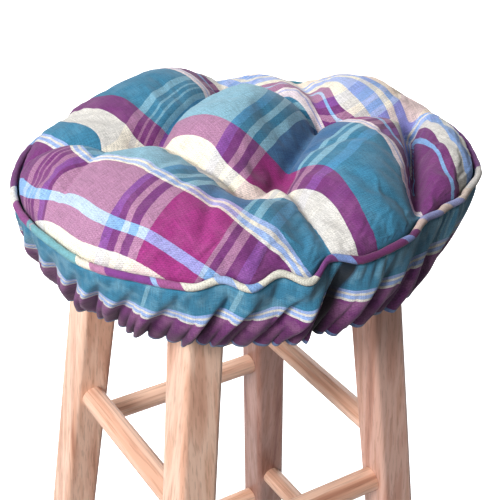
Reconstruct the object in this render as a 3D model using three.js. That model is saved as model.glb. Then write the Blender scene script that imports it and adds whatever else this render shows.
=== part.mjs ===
// A round, tufted cushion with a gathered skirt, fitted over the seat of a wooden bar stool.
// Millimetres, +Z up. The stool's axis is X = Y = 0 and the floor is Z = 0 until the last lines,
// which set the origin under the middle of the whole object.
import * as THREE from "three";
import { mergeVertices } from "three/addons/utils/BufferGeometryUtils.js";

// Driving dimensions of the stool
const SEAT_TOP = 610;
const SEAT_THICKNESS = 30;
const SEAT_RADIUS = 153;
const SEAT_EDGE_ROUND = 8;
const LEG_SIZE = 35;
const LEG_CORNER_ROUND = 5;
const LEG_SPREAD_AT_SEAT = 86.1;
const LEG_SPLAY = 0.0959;
const APRON_HEIGHT = 32;
const APRON_THICKNESS = 18;
const APRON_SET_BACK = 4;
const RUNG_RADIUS = 11;
const FIT_GAP = 0.3;

// Driving dimensions of the cushion
const PIPING_RADIUS = 3;
const PAD_INSIDE_WELT = 4.8;
const PAD_BASE_SHARE = 0.83;
const PAD_MIDDLE_HEIGHT = 646;
const PAD_CHEEK_POWER = 3.6;
const PAD_LEAST_CROWN = 4;
const PUFF_SPREAD = 42;
const TUFT_DEPTH = 44;
const TUFT_WIDTH = 20;
const CREASE_ROUND = 4;
const CREASE_BLEND = 3;
const SKIRT_THICKNESS = 2;
const SKIRT_BELOW_WELT = 4;
const SKIRT_INSIDE_WELT = 1;
const SKIRT_CURVE = 1.6;
const HEM_REACH = 161;
const HEM_HEIGHT = 575;
const FOLD_SLANT = -6;
const FOLD_VALLEY = -3;
const FOLD_VALLEY_PLACE = 0.28;

// Numbers of facets
const PAD_COLUMNS = 96;
const PIPING_COLUMNS = 120;
const SKIRT_COLUMNS = 180;
const PAD_TOP_ROWS = 22;
const PAD_UNDER_ROWS = 4;
const SKIRT_ROWS = 5;
const PIPING_SIDES = 8;
const SEAT_COLUMNS = 60;

// The four sides of the stool, with the height of the rungs on each
const RUNG_SIDES = [
  { side: "front", turn: 0, upper: 347, lower: 132 },
  { side: "right", turn: 90, upper: 390, lower: 175 },
  { side: "back", turn: 180, upper: 347, lower: 132 },
  { side: "left", turn: 270, upper: 390, lower: 175 },
];

// The four legs
const LEGS = [
  { name: "leg_front_left", x: -1, y: -1 },
  { name: "leg_front_right", x: 1, y: -1 },
  { name: "leg_back_right", x: 1, y: 1 },
  { name: "leg_back_left", x: -1, y: 1 },
];

// The welt: degrees about the stool's axis, distance from it, and height
const WELT = rows(["deg", "reach", "height"], [
  [-172, 181, 635],
  [-156, 186, 636],
  [-142, 185, 637],
  [-131, 186, 637],
  [-124, 181, 642],
  [-118, 186, 638],
  [-111, 179, 645],
  [-105, 186, 640],
  [-98, 174, 649],
  [-90, 180, 645],
  [-76, 181, 648],
  [-67, 177, 652],
  [-59, 182, 651],
  [-50, 192, 652],
  [-37, 202, 655],
  [-15, 203, 658],
  [10, 198, 658],
  [40, 190, 654],
  [70, 185, 648],
  [100, 185, 644],
  [130, 186, 640],
  [160, 184, 636],
]);

// The tufts, where a stitch pulls the pad down
const TUFTS = {
  left: [-101, 62],
  back_left: [-28, 70],
  back: [52, 122],
  right: [100, 10],
  front: [20, -40],
  front_left: [-36, -70],
  far_right: [158, -18],
};

// The puffs between the tufts: middle and crown height over the welt
const PUFFS = rows(["x", "y", "crown"], [
  [27, 32, 61],
  [-112, -62, 41],
  [-15, -118, 43],
  [60, -85, 47],
  [128, -100, 47],
  [158, 55, 49],
  [100, 130, 31],
  [-5, 135, 60],
  [-80, 112, 44],
  [-152, 38, 43],
]);

// The creases between puffs, from a tuft to another one or to a place on the welt
const CREASES = rows(["from", "to", "depth", "width"], [
  ["left", "back_left", 36, 14],
  ["back_left", "back", 34, 14],
  ["back", "right", 32, 14],
  ["right", "front", 34, 14],
  ["front", "front_left", 30, 15],
  ["front_left", "back_left", 12, 15],
  ["right", "far_right", 30, 14],
  ["left", 150, 28, 14],
  ["left", -174, 30, 15],
  ["front_left", -112, 10, 15],
  ["front", -98, 30, 14],
  ["far_right", -67, 34, 13],
  ["far_right", -8, 28, 14],
  ["right", 40, 24, 14],
  ["back", 66, 24, 14],
]);

// The skirt's folds: degrees at mid height and how far the fold stands out
const FOLDS = rows(["deg", "out"], [
  [-178, 4],
  [-167, 5],
  [-159, 7],
  [-151, 6],
  [-141, 7],
  [-128, 7],
  [-121, 6],
  [-111, 5],
  [-104, 8],
  [-87, 7],
  [-77, 5],
  [-66, 6],
  [-56, 7],
  [-44, 5],
  [-33, 6],
  [-20, 5],
  [-8, 7],
  [3, 5],
  [17, 6],
  [28, 7],
  [41, 5],
  [52, 6],
  [66, 7],
  [77, 5],
  [89, 6],
  [102, 7],
  [112, 5],
  [125, 6],
  [138, 5],
  [149, 6],
  [161, 5],
  [171, 6],
]);
const DEEP_FOLD = { deg: -97, width: 4.5, depth: 7 };

function rows(names, table) {
  return table.map((row) => Object.fromEntries(names.map((name, i) => [name, row[i]])));
}

function ease(t) {
  return (1 - Math.cos(Math.PI * t)) / 2;
}

function mix(a, b, t) {
  return a + (b - a) * t;
}

// The two rows of a round table that hold an angle, and the share of the way between them
function between(table, deg) {
  const angle = THREE.MathUtils.euclideanModulo(deg - table[0].deg, 360) + table[0].deg;
  let i = table.length - 1;
  while (table[i].deg > angle) {
    i -= 1;
  }
  const next = table[(i + 1) % table.length];
  const nextDeg = i + 1 < table.length ? next.deg : next.deg + 360;
  return { row: table[i], next, share: (angle - table[i].deg) / (nextDeg - table[i].deg) };
}

function weltAt(deg) {
  const { row, next, share } = between(WELT, deg);
  const t = ease(share);
  return { reach: mix(row.reach, next.reach, t), height: mix(row.height, next.height, t) };
}

function padRimPoint(deg) {
  const reach = weltAt(deg).reach - PAD_INSIDE_WELT;
  const angle = THREE.MathUtils.degToRad(deg);
  return [reach * Math.cos(angle), reach * Math.sin(angle)];
}

function distanceToLine(x, y, [ax, ay], [bx, by]) {
  const along = ((x - ax) * (bx - ax) + (y - ay) * (by - ay)) / ((bx - ax) ** 2 + (by - ay) ** 2);
  const t = THREE.MathUtils.clamp(along, 0, 1);
  return Math.hypot(x - mix(ax, bx, t), y - mix(ay, by, t));
}

function well(distance, depth, width) {
  const rounded = Math.hypot(distance, CREASE_ROUND) - CREASE_ROUND;
  return depth * Math.exp(-rounded / width);
}

// How deep the stitches and creases draw the cover down at a place
function drawnDown(x, y) {
  let sum = 0;
  for (const crease of CREASES) {
    const end = typeof crease.to === "number" ? padRimPoint(crease.to) : TUFTS[crease.to];
    const distance = distanceToLine(x, y, TUFTS[crease.from], end);
    sum += well(distance, crease.depth, crease.width) ** CREASE_BLEND;
  }
  for (const [tuftX, tuftY] of Object.values(TUFTS)) {
    sum += well(Math.hypot(x - tuftX, y - tuftY), TUFT_DEPTH, TUFT_WIDTH) ** CREASE_BLEND;
  }
  return sum ** (1 / CREASE_BLEND);
}

function crownAt(x, y) {
  let weights = 0;
  let sum = 0;
  for (const puff of PUFFS) {
    const weight = Math.exp(-((x - puff.x) ** 2 + (y - puff.y) ** 2) / (2 * PUFF_SPREAD ** 2));
    weights += weight;
    sum += weight * puff.crown;
  }
  return sum / weights;
}

// Merges a geometry's vertices and gives each one the place that move works out
function shaped(geometry, move) {
  geometry.deleteAttribute("uv");
  geometry.deleteAttribute("normal");
  const merged = mergeVertices(geometry, 1e-4);
  const place = merged.attributes.position;
  const point = new THREE.Vector3();
  for (let i = 0; i < place.count; i += 1) {
    point.fromBufferAttribute(place, i);
    move(point);
    place.setXYZ(i, point.x, point.y, point.z);
  }
  merged.computeVertexNormals();
  return merged;
}

// A closed outline of (distance, height) turned about the Z axis
function turned(outline, columns) {
  const points = outline.map(([distance, height]) => new THREE.Vector2(distance, height));
  return new THREE.LatheGeometry(points, columns).rotateX(Math.PI / 2);
}

function setRound(point, deg, reach, height) {
  const angle = THREE.MathUtils.degToRad(deg);
  point.set(reach * Math.cos(angle), reach * Math.sin(angle), height);
}

function degreesOf(point) {
  return THREE.MathUtils.radToDeg(Math.atan2(point.y, point.x));
}

// The filled pad: a unit lens, then each point goes to its puff, crease or drawn-in side
function padGeometry() {
  const outline = [[0, -1], [PAD_BASE_SHARE / 2, -1]];
  for (let i = PAD_UNDER_ROWS; i > 0; i -= 1) {
    const angle = (i / PAD_UNDER_ROWS) * (Math.PI / 2);
    outline.push([mix(PAD_BASE_SHARE, 1, Math.cos(angle)), -Math.sin(angle)]);
  }
  for (let i = PAD_TOP_ROWS; i > 0; i -= 1) {
    const share = Math.sin((i / PAD_TOP_ROWS) * (Math.PI / 2));
    outline.push([share, Math.sqrt(Math.max(0, 1 - share ** PAD_CHEEK_POWER))]);
  }
  outline.push([0, 1]);
  return shaped(turned(outline, PAD_COLUMNS), (point) => {
    const share = Math.hypot(point.x, point.y);
    const level = point.z;
    const deg = degreesOf(point);
    const welt = weltAt(deg);
    setRound(point, deg, share * (welt.reach - PAD_INSIDE_WELT), 0);
    if (level < 0) {
      point.z = mix(welt.height, SEAT_TOP + FIT_GAP, -level);
      return;
    }
    const crown = crownAt(point.x, point.y) - drawnDown(point.x, point.y);
    point.z = mix(PAD_MIDDLE_HEIGHT, welt.height, share ** 2) + Math.max(crown, PAD_LEAST_CROWN) * level;
  });
}

// The piping: a ring whose round section follows the welt
function pipingGeometry() {
  const ringRadius = 2 * PIPING_RADIUS;
  const ring = new THREE.TorusGeometry(ringRadius, PIPING_RADIUS, PIPING_SIDES, PIPING_COLUMNS);
  return shaped(ring, (point) => {
    const out = Math.hypot(point.x, point.y) - ringRadius;
    const deg = degreesOf(point);
    const welt = weltAt(deg);
    setRound(point, deg, welt.reach + out, welt.height + point.z);
  });
}

// How far a fold of the skirt stands out at a place on it
function foldOut(deg, down) {
  const slanted = deg - FOLD_SLANT * (down - 0.5);
  const { row, next, share } = between(FOLDS, slanted);
  const falls = share < FOLD_VALLEY_PLACE;
  const out = falls
    ? mix(row.out, FOLD_VALLEY, ease(share / FOLD_VALLEY_PLACE))
    : mix(FOLD_VALLEY, next.out, ease((share - FOLD_VALLEY_PLACE) / (1 - FOLD_VALLEY_PLACE)));
  const deep = DEEP_FOLD.depth * Math.exp(-(((slanted - DEEP_FOLD.deg) / DEEP_FOLD.width) ** 2));
  const grows = ease(Math.min(1, down / 0.55));
  const drawnByHem = mix(1, 0.6, Math.max(0, (down - 0.7) / 0.3));
  return (out - deep) * grows * drawnByHem;
}

// The skirt: a thin wall from the welt down to the gathered hem
function skirtGeometry() {
  const outline = [];
  for (let i = 0; i <= SKIRT_ROWS; i += 1) {
    outline.push([2, -i / SKIRT_ROWS]);
  }
  for (let i = SKIRT_ROWS; i >= 0; i -= 1) {
    outline.push([1, -i / SKIRT_ROWS]);
  }
  outline.push(outline[0]);
  outline.reverse();
  return shaped(turned(outline, SKIRT_COLUMNS), (point) => {
    const outside = Math.hypot(point.x, point.y) > 1.5;
    const down = THREE.MathUtils.clamp(-point.z, 0, 1);
    const deg = degreesOf(point);
    const welt = weltAt(deg);
    const top = welt.height - SKIRT_BELOW_WELT;
    const middle = mix(welt.reach - SKIRT_INSIDE_WELT, HEM_REACH, down ** SKIRT_CURVE) + foldOut(deg, down);
    const reach = middle + (outside ? SKIRT_THICKNESS / 2 : -SKIRT_THICKNESS / 2);
    setRound(point, deg, reach, mix(top, HEM_HEIGHT, down));
  });
}

function seatGeometry() {
  const bottom = SEAT_TOP - SEAT_THICKNESS;
  const inside = SEAT_RADIUS - SEAT_EDGE_ROUND;
  const corner = (height, from) => [0, 1, 2, 3].map((i) => {
    const angle = THREE.MathUtils.degToRad(from + 30 * i);
    return [inside + SEAT_EDGE_ROUND * Math.cos(angle), height + SEAT_EDGE_ROUND * Math.sin(angle)];
  });
  const outline = [
    [0, bottom],
    ...corner(bottom + SEAT_EDGE_ROUND, -90),
    ...corner(SEAT_TOP - SEAT_EDGE_ROUND, 0),
    [0, SEAT_TOP],
  ];
  return shaped(turned(outline, SEAT_COLUMNS), () => {});
}

// How far a leg's middle is from the stool's axis, along X and along Y, at a height
function legSpread(height) {
  return LEG_SPREAD_AT_SEAT + LEG_SPLAY * (SEAT_TOP - SEAT_THICKNESS - height);
}

function roundedSquare(size, round) {
  const half = size / 2;
  const inside = half - round;
  const shape = new THREE.Shape();
  shape.absarc(inside, -inside, round, -Math.PI / 2, 0);
  shape.absarc(inside, inside, round, 0, Math.PI / 2);
  shape.absarc(-inside, inside, round, Math.PI / 2, Math.PI);
  shape.absarc(-inside, -inside, round, Math.PI, 1.5 * Math.PI);
  shape.closePath();
  return shape;
}

function legGeometry({ x, y }) {
  const depth = SEAT_TOP - SEAT_THICKNESS - FIT_GAP;
  const options = { depth, bevelEnabled: false, curveSegments: 4, steps: 1 };
  const blank = new THREE.ExtrudeGeometry(roundedSquare(LEG_SIZE, LEG_CORNER_ROUND), options);
  return shaped(blank, (point) => {
    const spread = legSpread(point.z);
    point.x += x * spread;
    point.y += y * spread;
  });
}

// A cross piece on the -Y side of the stool: its ends follow the splay of the legs it meets
function betweenLegs(blank, height, setBack) {
  return shaped(blank, (point) => {
    const spread = legSpread(point.z + height);
    point.x = Math.sign(point.x) * (spread - LEG_SIZE / 2 - FIT_GAP);
    point.y -= spread + setBack;
    point.z += height;
  });
}

function rungGeometry(height) {
  const blank = new THREE.CylinderGeometry(RUNG_RADIUS, RUNG_RADIUS, 2, 16).rotateZ(Math.PI / 2);
  return betweenLegs(blank, height, 0);
}

function apronGeometry() {
  const height = SEAT_TOP - SEAT_THICKNESS - FIT_GAP - APRON_HEIGHT / 2;
  const outward = LEG_SIZE / 2 - APRON_SET_BACK - APRON_THICKNESS / 2;
  return betweenLegs(new THREE.BoxGeometry(2, APRON_THICKNESS, APRON_HEIGHT), height, outward);
}

const materials = {
  plaid: { color: 0x7a3a6e, roughness: 0.92 },
  plaidPiping: { color: 0xb9a3c4, roughness: 0.92 },
  plaidSkirt: { color: 0x3f7f96, roughness: 0.92 },
  wood: { color: 0xd2ab8c, roughness: 0.55 },
};

function piece(name, geometry, look) {
  const mesh = new THREE.Mesh(geometry, new THREE.MeshStandardMaterial({ metalness: 0, ...look }));
  mesh.name = name;
  return mesh;
}

const cushion = new THREE.Group();
cushion.add(
  piece("cushion_pad", padGeometry(), materials.plaid),
  piece("piping", pipingGeometry(), materials.plaidPiping),
  piece("skirt", skirtGeometry(), materials.plaidSkirt),
);

const stool = new THREE.Group();
stool.add(piece("seat", seatGeometry(), materials.wood));
for (const leg of LEGS) {
  stool.add(piece(leg.name, legGeometry(leg), materials.wood));
}
for (const { side, turn, upper, lower } of RUNG_SIDES) {
  const crossPieces = new THREE.Group();
  crossPieces.add(
    piece(`apron_${side}`, apronGeometry(), materials.wood),
    piece(`rung_${side}_upper`, rungGeometry(upper), materials.wood),
    piece(`rung_${side}_lower`, rungGeometry(lower), materials.wood),
  );
  crossPieces.rotation.z = THREE.MathUtils.degToRad(turn);
  stool.add(crossPieces);
}

// The origin goes to the floor under the middle of the whole object
const stoolWithCushion = new THREE.Group();
stoolWithCushion.add(stool, cushion);
const whole = new THREE.Box3().setFromObject(stoolWithCushion, true);
const middle = whole.getCenter(new THREE.Vector3());
stoolWithCushion.position.set(-middle.x, -middle.y, -whole.min.z);

export default stoolWithCushion;
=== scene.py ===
import math

import bmesh
import bpy
import numpy as np
from mathutils import Matrix, Quaternion, Vector


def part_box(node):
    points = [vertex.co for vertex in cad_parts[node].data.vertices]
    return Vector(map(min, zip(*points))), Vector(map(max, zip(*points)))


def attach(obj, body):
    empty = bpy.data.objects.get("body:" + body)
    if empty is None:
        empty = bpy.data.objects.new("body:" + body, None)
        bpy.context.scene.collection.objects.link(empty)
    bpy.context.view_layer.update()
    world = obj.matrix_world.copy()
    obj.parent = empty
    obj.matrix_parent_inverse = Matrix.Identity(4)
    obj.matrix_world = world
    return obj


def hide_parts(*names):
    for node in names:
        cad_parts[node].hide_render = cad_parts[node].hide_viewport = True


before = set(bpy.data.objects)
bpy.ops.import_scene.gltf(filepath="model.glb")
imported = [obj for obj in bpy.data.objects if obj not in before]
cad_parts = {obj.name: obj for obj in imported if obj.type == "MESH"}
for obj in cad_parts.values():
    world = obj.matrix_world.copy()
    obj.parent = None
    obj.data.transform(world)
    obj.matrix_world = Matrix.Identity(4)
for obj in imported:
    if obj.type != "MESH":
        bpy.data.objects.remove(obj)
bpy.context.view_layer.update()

scene = bpy.context.scene

# Places and sizes are in millimetres, and turned into metres when a mesh is made
MM = 0.001
low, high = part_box("seat")
AXIS = (low + high) / 2          # the stool's axis in the row frame
AXIS.z = 0.0


# The camera

CAMERA_PLACE = (-443.7, -703.7, 1023.0)
CAMERA_BACK = (-32.78, 28.98)    # azimuth and elevation it looks from, in degrees
CAMERA_ROLL = 1.55
CAMERA_LENS, CAMERA_SENSOR = 77.2, 36
CAMERA_NEAR, CAMERA_FAR = 0.05, 50       # metres


def make_camera():
    camera = bpy.data.objects.new("camera", bpy.data.cameras.new("camera"))
    scene.collection.objects.link(camera)
    azimuth, elevation = (math.radians(d) for d in CAMERA_BACK)
    back = Vector((math.sin(azimuth) * math.cos(elevation),
                   -math.cos(azimuth) * math.cos(elevation), math.sin(elevation)))
    turn = back.to_track_quat("Z", "Y") @ Quaternion((0, 0, 1), math.radians(CAMERA_ROLL))
    camera.rotation_mode = "QUATERNION"
    camera.location = Vector(CAMERA_PLACE) * MM
    camera.rotation_quaternion = turn
    camera.data.lens = CAMERA_LENS
    camera.data.sensor_width = CAMERA_SENSOR
    camera.data.clip_start, camera.data.clip_end = CAMERA_NEAR, CAMERA_FAR
    scene.camera = camera


# The cushion's plan: its welt, tufts, puffs and creases

WELT = np.array([  # degrees, distance from the axis, height
    (-172, 181, 635), (-156, 186, 636), (-142, 185, 637), (-131, 186, 637), (-124, 181, 642),
    (-118, 186, 638), (-111, 179, 645), (-105, 186, 640), (-98, 174, 649), (-90, 180, 645),
    (-76, 181, 648), (-67, 177, 652), (-59, 182, 651), (-50, 192, 652), (-37, 202, 655),
    (-15, 203, 658), (10, 198, 658), (40, 190, 654), (70, 185, 648), (100, 185, 644),
    (130, 186, 640), (160, 184, 636)], float)
SEAT_TOP, SEAT_RADIUS = 610, 153
PAD_INSIDE_WELT = 4.8
PAD_BASE_SHARE = 0.83
PAD_MIDDLE_HEIGHT = 646
PAD_CHEEK_POWER = 3.6
PAD_LEAST_CROWN = 4
PUFF_SPREAD = 42
TUFT_DEPTH, TUFT_WIDTH = 42.5, 42
CREASE_ROUND, CREASE_BLEND, CREASE_SHAPE = 2.5, 2.7, 1.75
TUFTS = {
    "left": (-86, 36), "back_left": (-60, 39), "back": (55, 105), "right": (92, 6),
    "front": (4, -60), "front_left": (-35, -78), "far_right": (161, -33)}
PUFFS = [  # x, y, crown
    (27, 32, 56), (-112, -62, 43), (-15, -118, 38), (60, -85, 40), (130, -98, 44),
    (158, 55, 52), (100, 130, 33), (-5, 135, 59), (-80, 112, 33), (-152, 38, 53)]
CREASES = [  # from, to a tuft or to degrees on the welt, depth, reach to each side
    ("left", "back_left", 38, 67), ("back_left", "back", 31, 66), ("back", "right", 31, 55),
    ("right", "front", 37, 64), ("front", "front_left", 31, 55), ("front_left", "back_left", 30, 55),
    ("right", "far_right", 32, 68), ("left", 148, 29, 37), ("left", -174, 9, 45),
    ("front", -98, 30, 60), ("far_right", -67, 39, 34), ("far_right", -8, 16, 53),
    ("right", 40, 27, 69), ("back", 66, 15, 54)]
TUCKS = [  # where two puffs press together: from, to, depth, width
    ("far_right", -67, 14, 8), ("right", "far_right", 7, 7), ("left", "back_left", 7, 6),
    ("back_left", "back", 5, 6)]


def round_table(table, deg, column):
    """A value of a table that runs round the axis, eased between its rows."""
    at = np.concatenate([table[:, 0] - 360, table[:, 0], table[:, 0] + 360])
    value = np.tile(table[:, column], 3)
    i = np.clip(np.searchsorted(at, deg, side="right") - 1, 0, len(at) - 2)
    t = (1 - np.cos(np.pi * (deg - at[i]) / (at[i + 1] - at[i]))) / 2
    return value[i] + (value[i + 1] - value[i]) * t


def mix(a, b, t):
    """From a to b as t goes from 0 to 1."""
    return a + (b - a) * t


def smooth(t):
    """An eased step from 0 to 1."""
    t = np.clip(t, 0, 1)
    return t * t * (3 - 2 * t)


def well(distance, depth, width):
    """How far the cover is drawn down at a distance from a crease, round and full to its sides."""
    near = np.clip(1 - (np.hypot(distance, CREASE_ROUND) - CREASE_ROUND) / width, 0, 1)
    return depth * (1 - (1 - near ** CREASE_SHAPE) ** (1 / CREASE_SHAPE))


def crease_ends(table):
    """Both ends of each crease in plan, its depth and its width."""
    for start, end, depth, width in table:
        if isinstance(end, str):
            goal = TUFTS[end]
        else:
            reach = float(round_table(WELT, np.array(float(end)), 1)) - PAD_INSIDE_WELT
            goal = (reach * math.cos(math.radians(end)), reach * math.sin(math.radians(end)))
        yield TUFTS[start], goal, depth, width


def to_line(x, y, a, b):
    """The distance from the line between two points."""
    along_x, along_y = b[0] - a[0], b[1] - a[1]
    t = ((x - a[0]) * along_x + (y - a[1]) * along_y) / (along_x ** 2 + along_y ** 2)
    t = np.clip(t, 0, 1)
    return np.hypot(x - mix(a[0], b[0], t), y - mix(a[1], b[1], t))


def drawn_down(x, y):
    """How far the creases and the pulled stitches draw the cover down."""
    total = 0
    for a, b, depth, width in crease_ends(CREASES):
        total = total + well(to_line(x, y, a, b), depth, width) ** CREASE_BLEND
    for tuft_x, tuft_y in TUFTS.values():
        total = total + well(np.hypot(x - tuft_x, y - tuft_y), TUFT_DEPTH, TUFT_WIDTH) ** CREASE_BLEND
    return total ** (1 / CREASE_BLEND)


def tucked(x, y):
    """The narrow folds between puffs that press together."""
    folds = []
    for a, b, depth, width in crease_ends(TUCKS):
        folds.append(depth * np.exp(-(to_line(x, y, a, b) / width) ** 2))
    return np.max(folds, axis=0)


def nearness(x, y, at_x, at_y, spread):
    """1 at a point, falling off round it."""
    return np.exp(-((x - at_x) ** 2 + (y - at_y) ** 2) / (2 * spread ** 2))


def crown_at(x, y):
    """The crown of the nearest puffs, blended."""
    weights = total = 0
    for puff_x, puff_y, crown in PUFFS:
        weight = nearness(x, y, puff_x, puff_y, PUFF_SPREAD)
        weights, total = weights + weight, total + weight * crown
    return total / weights


def along_ring(places, out, deg):
    """The share of the way from one place of a sorted ring to the next, and how far out each stands."""
    at = np.concatenate([places - 360, places, places + 360])
    out = np.tile(out, 3)
    i = np.clip(np.searchsorted(at, deg, side="right") - 1, 0, len(at) - 2)
    return (deg - at[i]) / (at[i + 1] - at[i]), out[i], out[i + 1]


def ring(count, seed):
    """Uneven places round a full turn, sorted, and a random number for each."""
    pick = np.random.default_rng(seed)
    steps = np.cumsum(pick.uniform(0.65, 1.35, count))
    return steps / steps[-1] * 360 - 180, pick.uniform(0, 1, count)


# Meshes

SAME_PLACE = 1e-5                # how close two corners are when they are one


def coords(mesh):
    """The places of a mesh's corners, a row for each."""
    co = np.empty(len(mesh.vertices) * 3)
    mesh.vertices.foreach_get("co", co)
    return co.reshape(-1, 3)


def place(mesh, co):
    """Puts a mesh's corners at these places."""
    mesh.vertices.foreach_set("co", np.ascontiguousarray(co, float).ravel())
    mesh.update()


def set_on_axis(mesh, solid):
    """Puts a mesh's corners at places in millimetres about the stool's axis."""
    place(mesh, solid * MM + np.array(AXIS))


def new_piece(name, bm):
    mesh = bpy.data.meshes.new(name)
    bm.to_mesh(mesh)
    bm.free()
    piece = bpy.data.objects.new(name, mesh)
    scene.collection.objects.link(piece)
    for polygon in mesh.polygons:
        polygon.use_smooth = True
    return piece


def set_uv(mesh, name, per_vertex):
    """A UV map with one place for each corner of the mesh."""
    layer = mesh.uv_layers.new(name=name)
    corner = np.empty(len(mesh.loops), int)
    mesh.loops.foreach_get("vertex_index", corner)
    layer.data.foreach_set("uv", np.ascontiguousarray(per_vertex[corner], float).ravel())


def closed(bm):
    """Merges the seams of a shape and turns its faces outwards."""
    bmesh.ops.remove_doubles(bm, verts=bm.verts, dist=SAME_PLACE)
    bmesh.ops.recalc_face_normals(bm, faces=bm.faces)
    return bm


def subdivide(piece):
    modifier = piece.modifiers.new("subdivision", "SUBSURF")
    modifier.levels = modifier.render_levels = 1
    modifier.uv_smooth = "PRESERVE_BOUNDARIES"
    modifier.use_limit_surface = False


# The pad's shape

PAD_GRID = 128
PAD_UNDER_ROWS = 5
PAD_OVER_SEAT = 0.5
RIM_PUCKERS, RIM_PUCKER_SEED, RIM_PUCKER_DEPTH = 74, 3, 1.1
RIM_PUCKER_REACH, RIM_PUCKER_END = 0.17, 0.03        # shares of the way in from the welt
RIM_PUCKER_SWAY, RIM_PUCKER_SWAYS = 3, 40


def pad_blank():
    """A unit disc of even quads, closed below by rings drawn in towards the base."""
    bm = bmesh.new()
    bmesh.ops.create_grid(bm, x_segments=PAD_GRID, y_segments=PAD_GRID, size=1)
    for v in bm.verts:
        p, q = v.co.x, v.co.y
        v.co = (p * math.sqrt(1 - q * q / 2), q * math.sqrt(1 - p * p / 2), 0)
    edge = [e for e in bm.edges if e.is_boundary]
    for row in range(1, PAD_UNDER_ROWS + 1):
        angle = row / PAD_UNDER_ROWS * math.pi / 2
        grown = bmesh.ops.extrude_edge_only(bm, edges=edge)["geom"]
        for v in (g for g in grown if isinstance(g, bmesh.types.BMVert)):
            out = Vector((v.co.x, v.co.y, 0)).normalized() * mix(PAD_BASE_SHARE, 1, math.cos(angle))
            v.co = (out.x, out.y, -math.sin(angle))
        edge = [g for g in grown if isinstance(g, bmesh.types.BMEdge) and g.is_boundary]
    bmesh.ops.contextual_create(bm, geom=edge)
    bmesh.ops.recalc_face_normals(bm, faces=bm.faces)
    return bm


def on_top(unit):
    return unit[:, 2] > -1e-6


def rim_dent(share, deg):
    """How deep the small puckers along the welt are."""
    places, size = ring(RIM_PUCKERS, RIM_PUCKER_SEED)
    swayed = deg + RIM_PUCKER_SWAY * np.sin(share * RIM_PUCKER_SWAYS)
    beside, here, _ = along_ring(places, size, swayed)
    dent = RIM_PUCKER_DEPTH * here ** 2 * np.abs(2 * beside - 1) ** 3
    inwards = 1 - share
    return dent * smooth((RIM_PUCKER_REACH - inwards) / RIM_PUCKER_REACH) * smooth(inwards / RIM_PUCKER_END)


def pad_surface(unit):
    """Millimetres about the stool's axis for points of the unit blank."""
    r = np.hypot(unit[:, 0], unit[:, 1])
    angle = np.arctan2(unit[:, 1], unit[:, 0])
    top = on_top(unit)
    share = np.where(top, np.sin(np.minimum(r, 1) * np.pi / 2), r)
    deg = np.degrees(angle)
    reach = round_table(WELT, deg, 1) - PAD_INSIDE_WELT
    height = round_table(WELT, deg, 2)
    x, y = share * reach * np.cos(angle), share * reach * np.sin(angle)
    crown = np.maximum(crown_at(x, y) - drawn_down(x, y), PAD_LEAST_CROWN)
    cheek = np.sqrt(np.maximum(0, 1 - share ** PAD_CHEEK_POWER))
    above = mix(PAD_MIDDLE_HEIGHT, height, share ** 2) + (crown - tucked(x, y)) * cheek
    above = above - rim_dent(share, deg)
    under = mix(height, SEAT_TOP + PAD_OVER_SEAT, -unit[:, 2])
    return np.stack([x, y, np.where(top, above, under)], 1)


# How the pad's cloth lies: laid flat, then charted across its two sets of stripes

RELAX_STEP = 1.6
FLAT_START = 1.1                                     # how much wider the first flat shape is
FLAT_ROUNDS = ((8, 3000), (4, 1500), (2, 500), (1, 150))     # every how many points, rounds


def relax(flat, solid, rounds):
    """Moves a flat grid until its sides and diagonals are as long as on the solid."""
    all_but, rest, every = slice(0, -1), slice(1, None), slice(None)
    sides = [((all_but, every), (rest, every)), ((every, all_but), (every, rest)),
             ((all_but, all_but), (rest, rest)), ((all_but, rest), (rest, all_but))]
    lengths = [np.linalg.norm(solid[b] - solid[a], axis=-1) for a, b in sides]
    count = np.zeros(solid.shape[:2] + (1,))
    for a, b in sides:
        count[a] += 1
        count[b] += 1
    for _ in range(rounds):
        moves = np.zeros_like(flat)
        for (a, b), length in zip(sides, lengths):
            along = flat[b] - flat[a]
            size = np.linalg.norm(along, axis=-1) + 1e-9
            pull = (0.5 * (size - length) / size)[..., None] * along
            moves[a] += pull
            moves[b] -= pull
        flat = flat + RELAX_STEP * moves / count
    return flat


def finer(flat, steps):
    """A flat grid with more steps, between the points it has."""
    t = np.linspace(0, len(flat) - 1, steps + 1)
    i = np.minimum(t.astype(int), len(flat) - 2)
    f = (t - i)[:, None, None]
    rows = flat[i] * (1 - f) + flat[i + 1] * f
    f = (t - i)[None, :, None]
    return rows[:, i] * (1 - f) + rows[:, i + 1] * f


def lay_flat(solid):
    """The cover laid flat with its lengths kept, first by a few points and then by all."""
    flat = None
    for step, rounds in FLAT_ROUNDS:
        coarse = solid[::step, ::step]
        flat = coarse[..., :2] * FLAT_START if flat is None else finer(flat, len(coarse) - 1)
        flat = relax(flat, coarse, rounds)
    return flat


BAND_TURN, CROSSING_TURN = 24.0, 114.0     # degrees of the two sets of stripes across the flat pad
SLIP_STEP, SLIP_SPREAD, PULL_SPREAD = 50.0, 36.0, 26.0
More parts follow.
